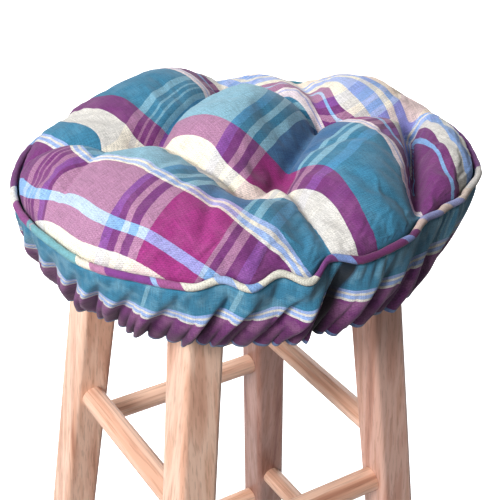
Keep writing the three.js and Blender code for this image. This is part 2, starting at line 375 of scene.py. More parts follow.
# Across the bands on the far right puff: at its middle, then with x, y, xx, xy and yy
FAR_PUFF = (73.3, 35.2, -15.9, 3.6, 5.0, -4.6)
FAR_PUFF_NUMBER, FAR_PUFF_LEAST = 4, 66.0
FAR_PUFF_SIDES = ((-68.5, 1, 3), (-8, -1, 14))       # degrees on the welt, side, millimetres to blend over
SLIPS = [  # for each puff: the bands' own shift, and how it grows each way, then the crossing's
    (-7.7, -7.2, -1.3, -16.8, -2.1, -3.0),
    (33.6, -2.8, -0.8, -1.9, 0.3, -2.8),
    (43.5, -2.9, -16.4, 7.7, -3.6, -3.9),
    (25.5, -0.8, -17.7, 6.2, 1.0, 0.6),
    (2.1, -4.1, -6.5, 9.6, 0.3, 3.1),
    (-25.8, 0.9, -0.8, 14.1, 0.1, -4.5),
    (-26.3, 2.5, 5.6, -2.1, 0.3, 0.9),
    (-2.6, 0.5, -0.6, -7.4, -0.2, 2.0),
    (-0.7, -3.2, -2.1, -4.5, -0.5, 0.6),
    (20.8, -0.2, -7.9, -10.0, 5.3, -2.5)]
PULLS = [  # where, and how far the cloth is pulled across the bands and the crossing bands
    (-4, -170, -5.0, 0.2), (-114, -132, 12.1, 10.8), (-70, -132, 9.7, 2.8), (-26, -132, -10.4, -0.2),
    (18, -132, -9.7, 1.4), (62, -132, 11.6, 1.3), (-136, -94, 6.8, -3.7), (-92, -94, 11.4, 1.3),
    (-48, -94, 4.3, 2.2), (-4, -94, -9.4, -2.3), (40, -94, -14.6, 12.9), (-158, -56, 11.9, -8.4),
    (-114, -56, 10.9, -11.1), (-70, -56, 12.1, -1.6), (18, -56, -5.6, -1.8), (62, -56, -5.4, 0.4),
    (106, -56, -1.8, 10.4), (-92, -18, 8.6, -4.2), (-48, -18, -7.5, -3.3), (-4, -18, 11.5, -2.7),
    (40, -18, -9.7, 0.4), (128, -18, -7.8, 5.1), (172, -18, -6.9, 21.2), (-158, 21, 17.6, -14.8),
    (-114, 21, 21.1, 5.6), (-26, 21, 5.6, 2.0), (62, 21, -11.0, -2.7), (106, 21, -0.4, 5.1),
    (150, 21, -15.1, 4.0), (-92, 59, 3.1, -3.4), (-48, 59, 9.3, -6.8), (84, 59, -15.5, -25.0),
    (128, 59, -27.9, 0.1), (-114, 97, 12.6, -1.4), (-70, 97, -3.6, -5.4), (-26, 97, -0.2, -9.4),
    (18, 97, 5.9, -9.5), (40, 135, -10.2, -1.4)]


def on_far_puff(x, y):
    """1 on the far right puff, 0 beyond the folds that bound it."""
    inside = 1
    tuft_x, tuft_y = TUFTS["far_right"]
    for deg, side, blend in FAR_PUFF_SIDES:
        reach = float(round_table(WELT, np.array(float(deg)), 1))
        along_x = reach * math.cos(math.radians(deg)) - tuft_x
        along_y = reach * math.sin(math.radians(deg)) - tuft_y
        away = side * (along_x * (y - tuft_y) - along_y * (x - tuft_x)) / math.hypot(along_x, along_y)
        inside = inside * smooth(away / blend + 0.5)
    return inside


def plaid_place(flat, solid):
    """Millimetres across the bands and across the crossing bands, as the cloth lies on the puffs."""
    x, y = solid[..., 0], solid[..., 1]
    weights = 0
    slips = [0, 0]
    for (puff_x, puff_y, _), slip in zip(PUFFS, SLIPS):
        weight = nearness(x, y, puff_x, puff_y, SLIP_SPREAD)
        weights = weights + weight
        for i in (0, 1):
            own, with_x, with_y = slip[3 * i:3 * i + 3]
            grown = with_x * (x - puff_x) / SLIP_STEP + with_y * (y - puff_y) / SLIP_STEP
            slips[i] = slips[i] + weight * (own + grown)
    pulls = [0, 0]
    for pull_x, pull_y, *pull in PULLS:
        weight = nearness(x, y, pull_x, pull_y, PULL_SPREAD)
        pulls = [pulls[i] + weight * pull[i] for i in (0, 1)]
    places = []
    for turn, slip, pull in zip((BAND_TURN, CROSSING_TURN), slips, pulls):
        turn = math.radians(turn)
        places.append(flat[..., 0] * math.cos(turn) + flat[..., 1] * math.sin(turn) + slip / weights + pull)
    far_x, far_y, _ = PUFFS[FAR_PUFF_NUMBER]
    steps_x, steps_y = (x - far_x) / SLIP_STEP, (y - far_y) / SLIP_STEP
    terms = (1, steps_x, steps_y, steps_x ** 2, steps_x * steps_y, steps_y ** 2)
    far = np.maximum(sum(value * term for value, term in zip(FAR_PUFF, terms)), FAR_PUFF_LEAST)
    places[0] = mix(places[0], far, on_far_puff(x, y))
    return np.stack(places, -1)


# The cover's settling over its filling

SETTLE_FRAMES, SETTLE_PRESSURE, SETTLE_QUALITY = 12, 4.0, 3
SETTLE_MOST, SETTLE_EVENED = 5.0, 60                 # millimetres a point may move, rounds of evening
COVER_STRETCH, COVER_SHEAR, COVER_BEND, COVER_MASS, COVER_EASE = 20, 8, 0.4, 0.3, 0.03
HELD_RIM = (0.90, 0.06)                              # where the hold starts, and how far it takes to be full
HELD_TUFT, HELD_CREASE = (4, 6), (2, 5)              # full this near, and then how far it takes to end
CREASE_HOLD, CREASE_HOLD_DEPTH = 0.9, 25


def held_share(unit, solid):
    """1 where the cover is sewn or tufted down, less along the creases, 0 where it may move."""
    x, y = solid[:, 0], solid[:, 1]
    rim = smooth((np.hypot(unit[:, 0], unit[:, 1]) - HELD_RIM[0]) / HELD_RIM[1])
    held = np.where(on_top(unit), rim, 1.0)
    for tuft_x, tuft_y in TUFTS.values():
        near = 1 - smooth((np.hypot(x - tuft_x, y - tuft_y) - HELD_TUFT[0]) / HELD_TUFT[1])
        held = np.maximum(held, near)
    for a, b, depth, _ in crease_ends(CREASES):
        near = 1 - smooth((to_line(x, y, a, b) - HELD_CREASE[0]) / HELD_CREASE[1])
        held = np.maximum(held, CREASE_HOLD * near * min(1, depth / CREASE_HOLD_DEPTH))
    return held


def evened(mesh, values, rounds):
    """Values at a mesh's corners, each drawn to the mean of its neighbours round after round."""
    edges = np.array([edge.vertices[:] for edge in mesh.edges])
    count = np.bincount(edges.ravel(), minlength=len(values))[:, None]
    for _ in range(rounds):
        total = np.zeros_like(values)
        np.add.at(total, edges[:, 0], values[edges[:, 1]])
        np.add.at(total, edges[:, 1], values[edges[:, 0]])
        values = (values + total / count) / 2
    return values


def settle(piece, held):
    """Lets the cover pull and wrinkle under its filling's pressure, with its seams and tufts held.

    The cover's full form is already the settled one, so its even swell is taken back out."""
    before = coords(piece.data)
    group = piece.vertex_groups.new(name="held")
    for i, weight in enumerate(held):
        group.add([i], float(weight), "REPLACE")
    cloth = piece.modifiers.new("settle", "CLOTH")
    settings = cloth.settings
    settings.quality, settings.mass = SETTLE_QUALITY, COVER_MASS
    settings.tension_stiffness = settings.compression_stiffness = COVER_STRETCH
    settings.shear_stiffness, settings.bending_stiffness = COVER_SHEAR, COVER_BEND
    settings.shrink_min = -COVER_EASE
    settings.use_pressure, settings.uniform_pressure_force = True, SETTLE_PRESSURE
    settings.vertex_group_mass, settings.pin_stiffness = "held", 1.0
    settings.effector_weights.gravity = 0
    cloth.point_cache.frame_start, cloth.point_cache.frame_end = 1, SETTLE_FRAMES
    for frame_number in range(1, SETTLE_FRAMES + 1):
        scene.frame_set(frame_number)
    settled = piece.evaluated_get(bpy.context.evaluated_depsgraph_get()).to_mesh()
    move = coords(settled) - before
    piece.modifiers.remove(cloth)
    piece.vertex_groups.remove(group)
    scene.frame_set(1)
    move -= evened(piece.data, move, SETTLE_EVENED)
    far = np.linalg.norm(move, axis=1, keepdims=True) + 1e-9
    most = SETTLE_MOST * MM
    place(piece.data, before + move / far * most * np.tanh(far / most))


def to_square(own, other):
    """The place in the square grid of a place in the disc that was made from it."""
    middle = 2 + own * own - other * other
    root = np.sqrt(np.maximum(0, middle ** 2 - 8 * own * own))
    return np.sign(own) * np.sqrt(np.maximum(0, (middle - root) / 2))


def top_numbers(unit):
    """The numbers of the top's corners, in the rows and columns of its grid."""
    top, x, y = on_top(unit), unit[:, 0], unit[:, 1]
    square = np.stack([to_square(x, y), to_square(y, x)], 1)
    cell = np.rint((square + 1) / 2 * PAD_GRID).astype(int)
    number = np.zeros((PAD_GRID + 1, PAD_GRID + 1), int)
    number[cell[top, 0], cell[top, 1]] = np.flatnonzero(top)
    return number


def make_pad():
    piece = new_piece("cushion_pad_cover", pad_blank())
    mesh = piece.data
    unit = coords(mesh)
    solid = pad_surface(unit)
    number = top_numbers(unit)
    flat = solid[:, :2].copy()
    flat[number] = lay_flat(solid[number])
    set_on_axis(mesh, solid)
    set_uv(mesh, "plaid", plaid_place(flat, solid) * MM)
    set_uv(mesh, "yarn", flat * MM)
    settle(piece, held_share(unit, solid))
    subdivide(piece)
    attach(piece, "root")
    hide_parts("cushion_pad")
    return piece


# The piping

PIPING_RADIUS = 3.0
PIPING_COLUMNS, PIPING_SIDES = 480, 16
PIPING_YARN_REACH = 184          # the distance from the axis at which its yarns have their true length
BLANK_REACH = 4                  # the reach of the ring it is first made as, where the cord's radius is 1


def make_piping():
    bm = bmesh.new()
    section = bmesh.ops.create_circle(bm, segments=PIPING_SIDES, radius=1.0)["verts"]
    bmesh.ops.rotate(bm, verts=section, cent=(0, 0, 0), matrix=Matrix.Rotation(math.pi / 2, 3, "X"))
    bmesh.ops.translate(bm, verts=section, vec=(BLANK_REACH, 0, 0))
    bmesh.ops.spin(bm, geom=bm.verts[:] + bm.edges[:], cent=(0, 0, 0), axis=(0, 0, 1),
                   angle=2 * math.pi, steps=PIPING_COLUMNS, use_merge=True)
    piece = new_piece("piping_cord", closed(bm))
    unit = coords(piece.data)
    angle = np.arctan2(unit[:, 1], unit[:, 0])
    deg = np.degrees(angle)
    out, up = np.hypot(unit[:, 0], unit[:, 1]) - BLANK_REACH, unit[:, 2]
    thick = PIPING_RADIUS * (1 + 0.05 * np.sin(angle * 31 + 1) + 0.04 * np.sin(angle * 73))
    reach = round_table(WELT, deg, 1) + out * thick
    height = round_table(WELT, deg, 2) + up * thick
    set_on_axis(piece.data, np.stack([reach * np.cos(angle), reach * np.sin(angle), height], 1))
    around, along = np.arctan2(up, out) * PIPING_RADIUS, angle * PIPING_YARN_REACH
    set_uv(piece.data, "plaid", np.stack([deg / 360 + 0.5, around * MM], 1))
    set_uv(piece.data, "yarn", np.stack([along + around, along - around], 1) * MM)
    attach(piece, "root")
    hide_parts("piping")
    return piece


# The skirt

SKIRT_THICKNESS = 1.2
SKIRT_BELOW_WELT, SKIRT_INSIDE_WELT, SKIRT_CURVE = 4, 1, 1.6
HEM_REACH, HEM_HEIGHT = 161, 575
FOLD_SLANT, FOLD_VALLEY, FOLD_VALLEY_PLACE = -13, -4.5, 0.17
GATHERS, GATHER_SEED, GATHER_SLANT, GATHER_OUT = 84, 5, -10, (4.0, 9.0)
GATHER_DROP = 0.25               # how far a gather hangs lower, for each millimetre it stands out
PUCKERS, PUCKER_SEED, PUCKER_SLANT, PUCKER_OUT = 96, 8, 4, 1.3
SKIRT_COLUMNS, SKIRT_ROWS = 960, 26
SKIRT_YARN_REACH, SKIRT_YARN_DROP = 205, 76
# Painted shade in the skirt's fold hollows: millimetres inwards for its full amount, and that amount on the
# shade ramp
FOLD_SHADE_DEPTH, FOLD_SHADE_SHARE = 7, 0.6
FOLDS = np.array([  # degrees at mid height, how far it stands out
    (-178, 4), (-167, 5), (-159, 7), (-151, 6), (-141, 7), (-128, 7), (-121, 6), (-111, 5),
    (-104, 8), (-87, 7), (-77, 5), (-66, 6), (-56, 7), (-44, 5), (-33, 6), (-20, 5), (-8, 7),
    (3, 5), (17, 6), (28, 7), (41, 5), (52, 6), (66, 7), (77, 5), (89, 6), (102, 7), (112, 5),
    (125, 6), (138, 5), (149, 6), (161, 5), (171, 6)], float)
DEEP_FOLD = {"deg": -99.5, "slant": -6, "out": 3.5, "in": 10, "drop": 1.6, "reach": 4.5}
DEEP_FOLD_SHADE = ((0.4, 1.2), (4.2, 1.6))            # degrees past it where its painted shade starts and ends
SKIRT_CLOTH = np.array([  # share of the way down the skirt, place across the bands
    (0, -43), (0.37, -57), (0.51, -66.6), (0.95, -107), (0.97, -111.5), (1, -116)], float)
SKIRT_CROSSING = np.array([  # degrees, place across the crossing bands
    (-180, 98), (-141.5, 98), (-140.5, 88), (-139.5, 98), (-121, 98), (-119.8, 88), (-118.6, 98),
    (-84, 98), (-83, 88), (-82, 98), (-62, 98), (-54, 72), (-46, 98), (20, 98), (34, 72), (48, 98),
    (110, 98), (111, 88), (112, 98), (180, 98)], float)
SKIRT_PLAIN = (0.34, 0.08)       # share of the way down where the crossing bands end
SKIRT_PLAIN_CROSSING = 98


def saw(places, out, deg, valley_place):
    """Out at each place of a ring of folds, falling fast past it and rising slowly to the next."""
    share, here, after = along_ring(places, out, deg)
    fall = mix(here, 0, smooth(share / valley_place))
    rise = mix(0, after, smooth((share - valley_place) / (1 - valley_place)) ** 0.8)
    return np.where(share < valley_place, fall, rise)


def bulges(places, out, deg):
    """Round bulges with narrow dents at the places of a ring."""
    share, here, _ = along_ring(places, out, deg)
    return here * (1 - np.abs(2 * share ** 0.75 - 1) ** 2.6)


def fold_out(deg, down):
    """How far the skirt stands out from its plain shape, its gathers alone, and the painted shade beside the
    deep fold.
    """
    pleats = saw(FOLDS[:, 0], FOLDS[:, 1] - FOLD_VALLEY, deg - FOLD_SLANT * (down - 0.5), FOLD_VALLEY_PLACE)
    pleats = (pleats + FOLD_VALLEY) * smooth(down / 0.6) * mix(1, 0.5, smooth((down - 0.65) / 0.35))
    places, size = ring(GATHERS, GATHER_SEED)
    gathers = bulges(places, mix(*GATHER_OUT, size), deg - GATHER_SLANT * (down - 1))
    gathers = (gathers - GATHER_OUT[0]) * smooth((down - 0.3) / 0.55)
    places, size = ring(PUCKERS, PUCKER_SEED)
    puckers = saw(places, PUCKER_OUT * (0.4 + size), deg + PUCKER_SLANT * down, 0.4)
    puckers = puckers * smooth(down / 0.06) * (1 - smooth((down - 0.1) / 0.35))
    past = deg - DEEP_FOLD["deg"] - DEEP_FOLD["slant"] * (down - 0.5)
    step = mix(DEEP_FOLD["out"], -DEEP_FOLD["in"], smooth(past / DEEP_FOLD["drop"]))
    beyond = np.maximum(np.maximum(-past, past - DEEP_FOLD["drop"]), 0)
    deep = step * np.exp(-(beyond / DEEP_FOLD["reach"]) ** 1.5) * smooth(down / 0.45)
    # Painted shade to the right of the deep fold, where the skirt turns away from the light
    (starts, darkens), (ends, lightens) = DEEP_FOLD_SHADE
    deep_fold_shade = smooth((past - starts) / darkens) * (1 - smooth((past - ends) / lightens))
    return pleats + gathers + puckers + deep, gathers, deep_fold_shade


def make_skirt():
    bm = bmesh.new()
    bmesh.ops.create_grid(bm, x_segments=SKIRT_COLUMNS, y_segments=SKIRT_ROWS, size=1)
    for v in bm.verts:
        turn = v.co.x * math.pi
        v.co = (3 * math.cos(turn), 3 * math.sin(turn), v.co.y)
    piece = new_piece("skirt_cloth", closed(bm))
    unit = coords(piece.data)
    angle = np.arctan2(unit[:, 1], unit[:, 0])
    deg, down = np.degrees(angle), (1 - unit[:, 2]) / 2
    top = round_table(WELT, deg, 2) - SKIRT_BELOW_WELT
    out, gathers, deep_fold_shade = fold_out(deg, down)
    reach = mix(round_table(WELT, deg, 1) - SKIRT_INSIDE_WELT, HEM_REACH, down ** SKIRT_CURVE) + out
    reach = np.maximum(reach, SEAT_RADIUS + SKIRT_THICKNESS)
    height = mix(top, HEM_HEIGHT, down) - GATHER_DROP * gathers
    set_on_axis(piece.data, np.stack([reach * np.cos(angle), reach * np.sin(angle), height], 1))
    bands = np.interp(down, SKIRT_CLOTH[:, 0], SKIRT_CLOTH[:, 1])
    crossing = np.interp(deg + 6 * down, SKIRT_CROSSING[:, 0], SKIRT_CROSSING[:, 1])
    crossing = mix(crossing, SKIRT_PLAIN_CROSSING, smooth((down - SKIRT_PLAIN[0]) / SKIRT_PLAIN[1]))
    # Painted shade for the skirt's material: darker where it folds inwards and beside the deep fold, carried
    # in the "fold" map
    painted_shade = np.maximum(FOLD_SHADE_SHARE * smooth(-out / FOLD_SHADE_DEPTH), deep_fold_shade)
    set_uv(piece.data, "plaid", np.stack([bands, crossing], 1) * MM)
    set_uv(piece.data, "yarn", np.stack([angle * SKIRT_YARN_REACH, down * SKIRT_YARN_DROP], 1) * MM)
    set_uv(piece.data, "fold", np.stack([painted_shade, down], 1))
    thick = piece.modifiers.new("thickness", "SOLIDIFY")
    thick.thickness, thick.offset = SKIRT_THICKNESS * MM, 0
    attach(piece, "root")
    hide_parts("skirt")
    return piece


# Shader nodes

def linear(red, green, blue):
    """A colour given as it looks on a screen, 0 to 255, as a shader's colour."""
    values = [c / 255 for c in (red, green, blue)]
    return tuple(c / 12.92 if c <= 0.04045 else ((c + 0.055) / 1.055) ** 2.4 for c in values) + (1.0,)


def node(tree, kind, **settings):
    """A new node with its settings."""
    made = tree.nodes.new(kind)
    for name, value in settings.items():
        setattr(made, name, value)
    return made


def feed(tree, made, **inputs):
    """Links sockets, or sets numbers, on a node's inputs. i0 is the first input."""
    for name, value in inputs.items():
        socket = made.inputs[int(name[1:])]
        if isinstance(value, bpy.types.NodeSocket):
            tree.links.new(value, socket)
        else:
            socket.default_value = value
    return made


def math_node(tree, operation, a, b=0.0, c=0.0):
    made = node(tree, "ShaderNodeMath", operation=operation)
    feed(tree, made, i0=a, i1=b, i2=c)
    return made.outputs[0]


def split_place(tree, place_of):
    """The parts of a place along its axes."""
    return feed(tree, node(tree, "ShaderNodeSeparateXYZ"), i0=place_of).outputs


def mix_colour(tree, factor, a, b, blend="MIX"):
    made = node(tree, "ShaderNodeMix", data_type="RGBA", blend_type=blend)
    feed(tree, made, i0=factor, i6=a, i7=b)
    return made.outputs[2]


def stripes(tree, factor, rows, interpolation="CONSTANT"):
    """A colour ramp with a stop for each row of (place from 0 to 1, colour)."""
    made = node(tree, "ShaderNodeValToRGB")
    ramp = made.color_ramp
    ramp.interpolation = interpolation
    for i, (where, colour) in enumerate(rows):
        stop = ramp.elements[i] if i < 2 else ramp.elements.new(1.0)
        stop.position = where
        stop.color = colour
    tree.links.new(factor, made.inputs[0])
    return made.outputs[0]


def noise(tree, place_of, scale, detail, **settings):
    """Noise over a place, from 0 to 1."""
    made = node(tree, "ShaderNodeTexNoise", **settings)
    made.inputs["Scale"].default_value, made.inputs["Detail"].default_value = scale, detail
    tree.links.new(place_of, made.inputs["Vector"])
    return made.outputs[0]


def new_group(name, inputs, outputs):
    """A node group, with its input and output nodes."""
    group = bpy.data.node_groups.new(name, "ShaderNodeTree")
    for direction, sockets in (("INPUT", inputs), ("OUTPUT", outputs)):
        for socket, kind in sockets:
            group.interface.new_socket(socket, in_out=direction, socket_type="NodeSocket" + kind)
    return group, group.nodes.new("NodeGroupInput"), group.nodes.new("NodeGroupOutput")


# The plaid cloth

# Each yarn colour: as it is, then crossed by white, by magenta and by violet
PURPLE = ((110, 49, 109), (170, 124, 154), (150, 46, 117), (130, 76, 152))
TEAL = ((53, 118, 149), (136, 180, 198), (60, 102, 146), (74, 140, 182))
CREAM = ((206, 203, 198), (237, 229, 211), (222, 204, 198), (210, 208, 210))
SKY = ((124, 164, 212), (178, 196, 220), (148, 142, 200), (132, 170, 212))
STRIPE_BLUE = ((144, 168, 216), (178, 194, 226), (166, 154, 206), (148, 176, 220))
LIGHT_BLUE = ((134, 166, 218), (172, 186, 228), (144, 142, 208), (140, 158, 216))
PINK_WHITE = ((226, 212, 215), (232, 220, 221), (222, 206, 212), (226, 211, 221))
FINE_BLUE = ((172, 174, 212), (186, 184, 218), (174, 170, 208), (174, 170, 210))
PEACH = ((236, 214, 195), (238, 222, 205), (218, 194, 194), (226, 206, 197))
CHART_LOW, CHART_HIGH = -142.0, 118.0
BANDS = [  # where a band starts across the cloth, and its yarn
    (CHART_LOW, CREAM), (-138.9, PURPLE), (-119.8, SKY), (-110.2, PURPLE), (-66.4, CREAM),
    (-63.9, STRIPE_BLUE), (-61.5, CREAM), (-59.5, STRIPE_BLUE), (-56.7, TEAL),
    (-41.5, CREAM), (-23.7, PURPLE), (-5.9, TEAL), (57.6, PINK_WHITE),
    (60.5, FINE_BLUE), (61.7, PINK_WHITE), (64.1, PURPLE), (72.1, SKY),
    (73.6, PURPLE), (79.4, CREAM), (86.7, LIGHT_BLUE), (99.0, CREAM),
    (105.6, LIGHT_BLUE), (114.4, PEACH)]
CROSSINGS = [  # where a crossing band starts, and how far it is white, magenta or violet
    (CHART_LOW, 0, 0, 0), (-128, 0, 0, 0.12), (-116, 0, 0, 0),
    (-98.6, 0, 0, 0.8), (-89.6, 0, 0, 0), (-82.9, 0.8, 0, 0), (-76.7, 0, 0, 0), (-71.2, 0.8, 0, 0),
    (-67.9, 0, 1, 0), (-39.7, 0.95, 0, 0), (-34.7, 0, 0, 0.1), (-30.2, 0.95, 0, 0), (-25.4, 0, 0, 0.1),
    (-20.2, 0, 0, 0.9), (-14.4, 1, 0, 0), (51.2, 0, 0, 0), (54.5, 0, 0, 0.7), (60.5, 0.7, 0, 0),
    (65.5, 0, 0, 0), (71.1, 0.6, 0, 0), (72.6, 0, 0, 0), (77.0, 0.6, 0, 0), (78.6, 0, 0, 0),
    (83.9, 0.7, 0, 0), (92.2, 0, 0, 0)]
FLECK_SCALE, FLECK_RANGE, FLECK_LEAST = 1100.0, 1.1, 0.4
WORN_SCALE, WORN_FROM, WORN_TO = 55.0, 0.42, 0.68


def on_chart(mm):
    """A place on the cloth's chart, from 0 at its low end to 1 at its high end."""
    return (mm - CHART_LOW) / (CHART_HIGH - CHART_LOW)


def plaid_group():
    """The plaid's colour, with its crossing yarns flecked and, on worn cloth, whitened in patches."""
    group, source, target = new_group(
        "plaid", [("Cloth", "Vector"), ("Yarn", "Vector"), ("Worn", "Float")], [("Color", "Color")])
    span = CHART_HIGH - CHART_LOW
    across, crossing = (math_node(group, "MULTIPLY_ADD", part, 1 / (span * MM), -CHART_LOW / span)
                        for part in list(split_place(group, source.outputs["Cloth"]))[:2])
    variants = []
    for i in range(4):
        rows = [(on_chart(start), linear(*yarn[i])) for start, yarn in BANDS]
        variants.append(stripes(group, across, rows))
    weights = stripes(group, crossing, [(on_chart(row[0]), (*row[1:], 1.0)) for row in CROSSINGS])
    parts = feed(group, node(group, "ShaderNodeSeparateColor"), i0=weights)
    fleck = noise(group, source.outputs["Yarn"], FLECK_SCALE, 2.0, noise_dimensions="2D")
    flecked = math_node(group, "MULTIPLY_ADD", fleck, FLECK_RANGE, FLECK_LEAST)
    colour = variants[0]
    for i in range(3):
        weight = math_node(group, "MULTIPLY", parts.outputs[i], flecked)
        colour = mix_colour(group, weight, colour, variants[i + 1])
    patches = noise(group, source.outputs["Yarn"], WORN_SCALE, 3.0, noise_dimensions="2D")
    worn = stripes(group, patches, [(WORN_FROM, (0, 0, 0, 1)), (WORN_TO, (1, 1, 1, 1))], "EASE")
    worn = math_node(group, "MULTIPLY", math_node(group, "MULTIPLY", worn, source.outputs["Worn"]), flecked)
    group.links.new(mix_colour(group, worn, colour, variants[1]), target.inputs["Color"])
    return group


YARN_FINE, YARN_LONG = 1300.0, 70.0      # how close the yarns lie, and how far each runs evenly
TWILL_STEP = 2.1
YARN_FLECK = 900.0
YARN_SHADE, FLECK_SHADE, RIB_SHADE = 0.55, 0.7, 0.4


def yarn_group():
    """Uneven yarns both ways, as a shade to multiply a colour by, and a woven height."""
    group, source, target = new_group(
        "yarns", [("Cloth", "Vector"), ("Twill", "Float")], [("Shade", "Float"), ("Height", "Float")])
    cloth = source.outputs["Cloth"]
    shades = []
    for along, over in ((YARN_FINE, YARN_LONG), (YARN_LONG, YARN_FINE)):
        scaled = node(group, "ShaderNodeVectorMath", operation="MULTIPLY")
        feed(group, scaled, i0=cloth, i1=(along, over, 1.0))
        shades.append(noise(group, scaled.outputs[0], 1.0, 1.0, noise_dimensions="2D"))
    both = math_node(group, "ADD", *shades)
    split = split_place(group, cloth)
    diagonal = math_node(group, "ADD", split[0], split[1])
    twill = math_node(group, "SINE", math_node(group, "MULTIPLY", diagonal, 2 * math.pi / (TWILL_STEP * MM)))
    ribs = math_node(group, "MULTIPLY", twill, source.outputs["Twill"])
    fleck = noise(group, cloth, YARN_FLECK, 2.0, noise_dimensions="2D")
    shade = math_node(group, "MULTIPLY_ADD", math_node(group, "SUBTRACT", both, 1.0), YARN_SHADE, 1.0)
    shade = math_node(group, "MULTIPLY_ADD", math_node(group, "SUBTRACT", fleck, 0.5), FLECK_SHADE, shade)
    shade = math_node(group, "MULTIPLY_ADD", ribs, RIB_SHADE, shade)
    group.links.new(shade, target.inputs["Shade"])
    group.links.new(math_node(group, "MULTIPLY_ADD", both, 0.5, ribs), target.inputs["Height"])
    return group


def use_group(tree, group, **inputs):
    """A group placed in a tree, with sockets linked to its inputs or numbers set on them."""
    made = node(tree, "ShaderNodeGroup", node_tree=group)
    for name, value in inputs.items():
        if isinstance(value, bpy.types.NodeSocket):
            tree.links.new(value, made.inputs[name])
        else:
            made.inputs[name].default_value = value
    return made


BUMP_HEIGHT, CLOTH_BUMP, WOOD_BUMP = 0.4, 0.5, 0.25
CLOTH_ROUGHNESS, CLOTH_SHEEN, WOOD_ROUGHNESS, FLOOR_ROUGHNESS = 0.9, 0.12, 0.45, 0.8
PAD_TWILL, SKIRT_TWILL, PIPING_TWILL = 0.25, 0.2, 0.5
PAD_WORN, SKIRT_WORN = 0.1, 0.35


def new_material(name, roughness, sheen=0.0):
    material = bpy.data.materials.new(name)
    material.use_nodes = True
    shader = material.node_tree.nodes["Principled BSDF"]
    shader.inputs["Roughness"].default_value = roughness
    shader.inputs["Sheen Weight"].default_value = sheen
    shader.inputs["Sheen Roughness"].default_value = 0.5
    shader.inputs["Specular IOR Level"].default_value = 0.25
    return material, material.node_tree, shader


def bumped(tree, shader, height, strength):
    """Lets a height show in the shader's normal."""
    bump = node(tree, "ShaderNodeBump")
    bump.inputs["Strength"].default_value = strength
    bump.inputs["Distance"].default_value = BUMP_HEIGHT * MM
    tree.links.new(height, bump.inputs["Height"])
    tree.links.new(bump.outputs[0], shader.inputs["Normal"])


def cloth_material(name, colour_of, twill):
    """A woven cloth whose colour comes from its places across the bands and along its yarns."""
    material, tree, shader = new_material(name, CLOTH_ROUGHNESS, CLOTH_SHEEN)
    place_of = node(tree, "ShaderNodeUVMap", uv_map="plaid").outputs[0]
    yarn_place = node(tree, "ShaderNodeUVMap", uv_map="yarn").outputs[0]
    weave = use_group(tree, YARNS, Cloth=yarn_place, Twill=twill)
    colour = mix_colour(tree, 1.0, colour_of(tree, place_of, yarn_place), weave.outputs["Shade"], "MULTIPLY")
    tree.links.new(colour, shader.inputs["Base Color"])
    bumped(tree, shader, weave.outputs["Height"], CLOTH_BUMP)
    return material


def plaid_colour(tree, worn, place_of, yarn_place):
    return use_group(tree, PLAID, Cloth=place_of, Yarn=yarn_place, Worn=worn).outputs["Color"]


def pad_colour(tree, place_of, yarn_place):
    return plaid_colour(tree, PAD_WORN, place_of, yarn_place)


def skirt_colour(tree, place_of, yarn_place):
    """The plaid with painted shade: darker in the hollows of the folds and towards the gathered hem."""
    cloth = plaid_colour(tree, SKIRT_WORN, place_of, yarn_place)
    fold = split_place(tree, node(tree, "ShaderNodeUVMap", uv_map="fold").outputs[0])
    # Painted shade: the folds' hollows greyed, and beside the deep fold nearly black
    painted_shade = stripes(tree, fold[0], [
        (0.0, (1, 1, 1, 1)), (FOLD_SHADE_SHARE, (0.40, 0.36, 0.42, 1)), (1.0, (0.05, 0.04, 0.05, 1))], "EASE")
    # Painted shade towards the skirt's lower edge, which turns under and away from the light
    hem = stripes(tree, fold[1], [(0.45, (1, 1, 1, 1)), (0.85, (0.50, 0.42, 0.48, 1))], "EASE")
    return mix_colour(tree, 1.0, mix_colour(tree, 1.0, cloth, painted_shade, "MULTIPLY"), hem, "MULTIPLY")


PIPING_BANDS = [  # degrees where a colour of the piping starts
    (-180, (120, 180, 190)), (-160, (248, 240, 224)), (-155, (196, 134, 172)), (-151, (136, 66, 146)),
    (-140.2, (160, 190, 238)), (-139, (170, 92, 150)), (-132.5, (238, 234, 220)), (-126.5, (166, 192, 236)),
    (-121.7, (240, 236, 222)), (-119.5, (140, 176, 228)), (-116.5, (236, 232, 218)), (-103, (124, 60, 128)),
    (-97.3, (130, 156, 218)), (-94, (120, 48, 108)), (-78.3, (140, 158, 220)), (-75, (112, 48, 104)),
    (-72, (224, 196, 186)), (-68, (158, 162, 216)), (-61, (232, 208, 196)), (-56.5, (170, 174, 224)),
    (-52.5, (246, 226, 210)), (-46.8, (240, 234, 228)), (-35.5, (130, 70, 140)), (-10, (236, 230, 216)),
    (20, (70, 140, 160)), (50, (130, 60, 130)), (85, (236, 230, 216)), (110, (150, 180, 230)),
    (135, (120, 60, 124)), (158.3, (244, 240, 232)), (167.3, (150, 74, 140)), (178.5, (120, 180, 190))]


PIPING_SLANT, PIPING_TONE = 0.6, 0.91


def piping_colour(tree, place_of, yarn_place):
    """The bias-cut plaid of the piping, its bands slanting round the cord."""
    split = split_place(tree, place_of)
    slanted = math_node(tree, "MULTIPLY_ADD", split[1], PIPING_SLANT, split[0])
    rows = []
    for deg, colour in PIPING_BANDS:
        rows.append(((deg + 180) / 360, linear(*(PIPING_TONE * c for c in colour))))
    return stripes(tree, slanted, rows)


# The wood

GRAIN_STRETCH, PORE_SCALE, RING_SCALE, PORE_SHOW = 0.035, 620.0, 70.0, 0.4


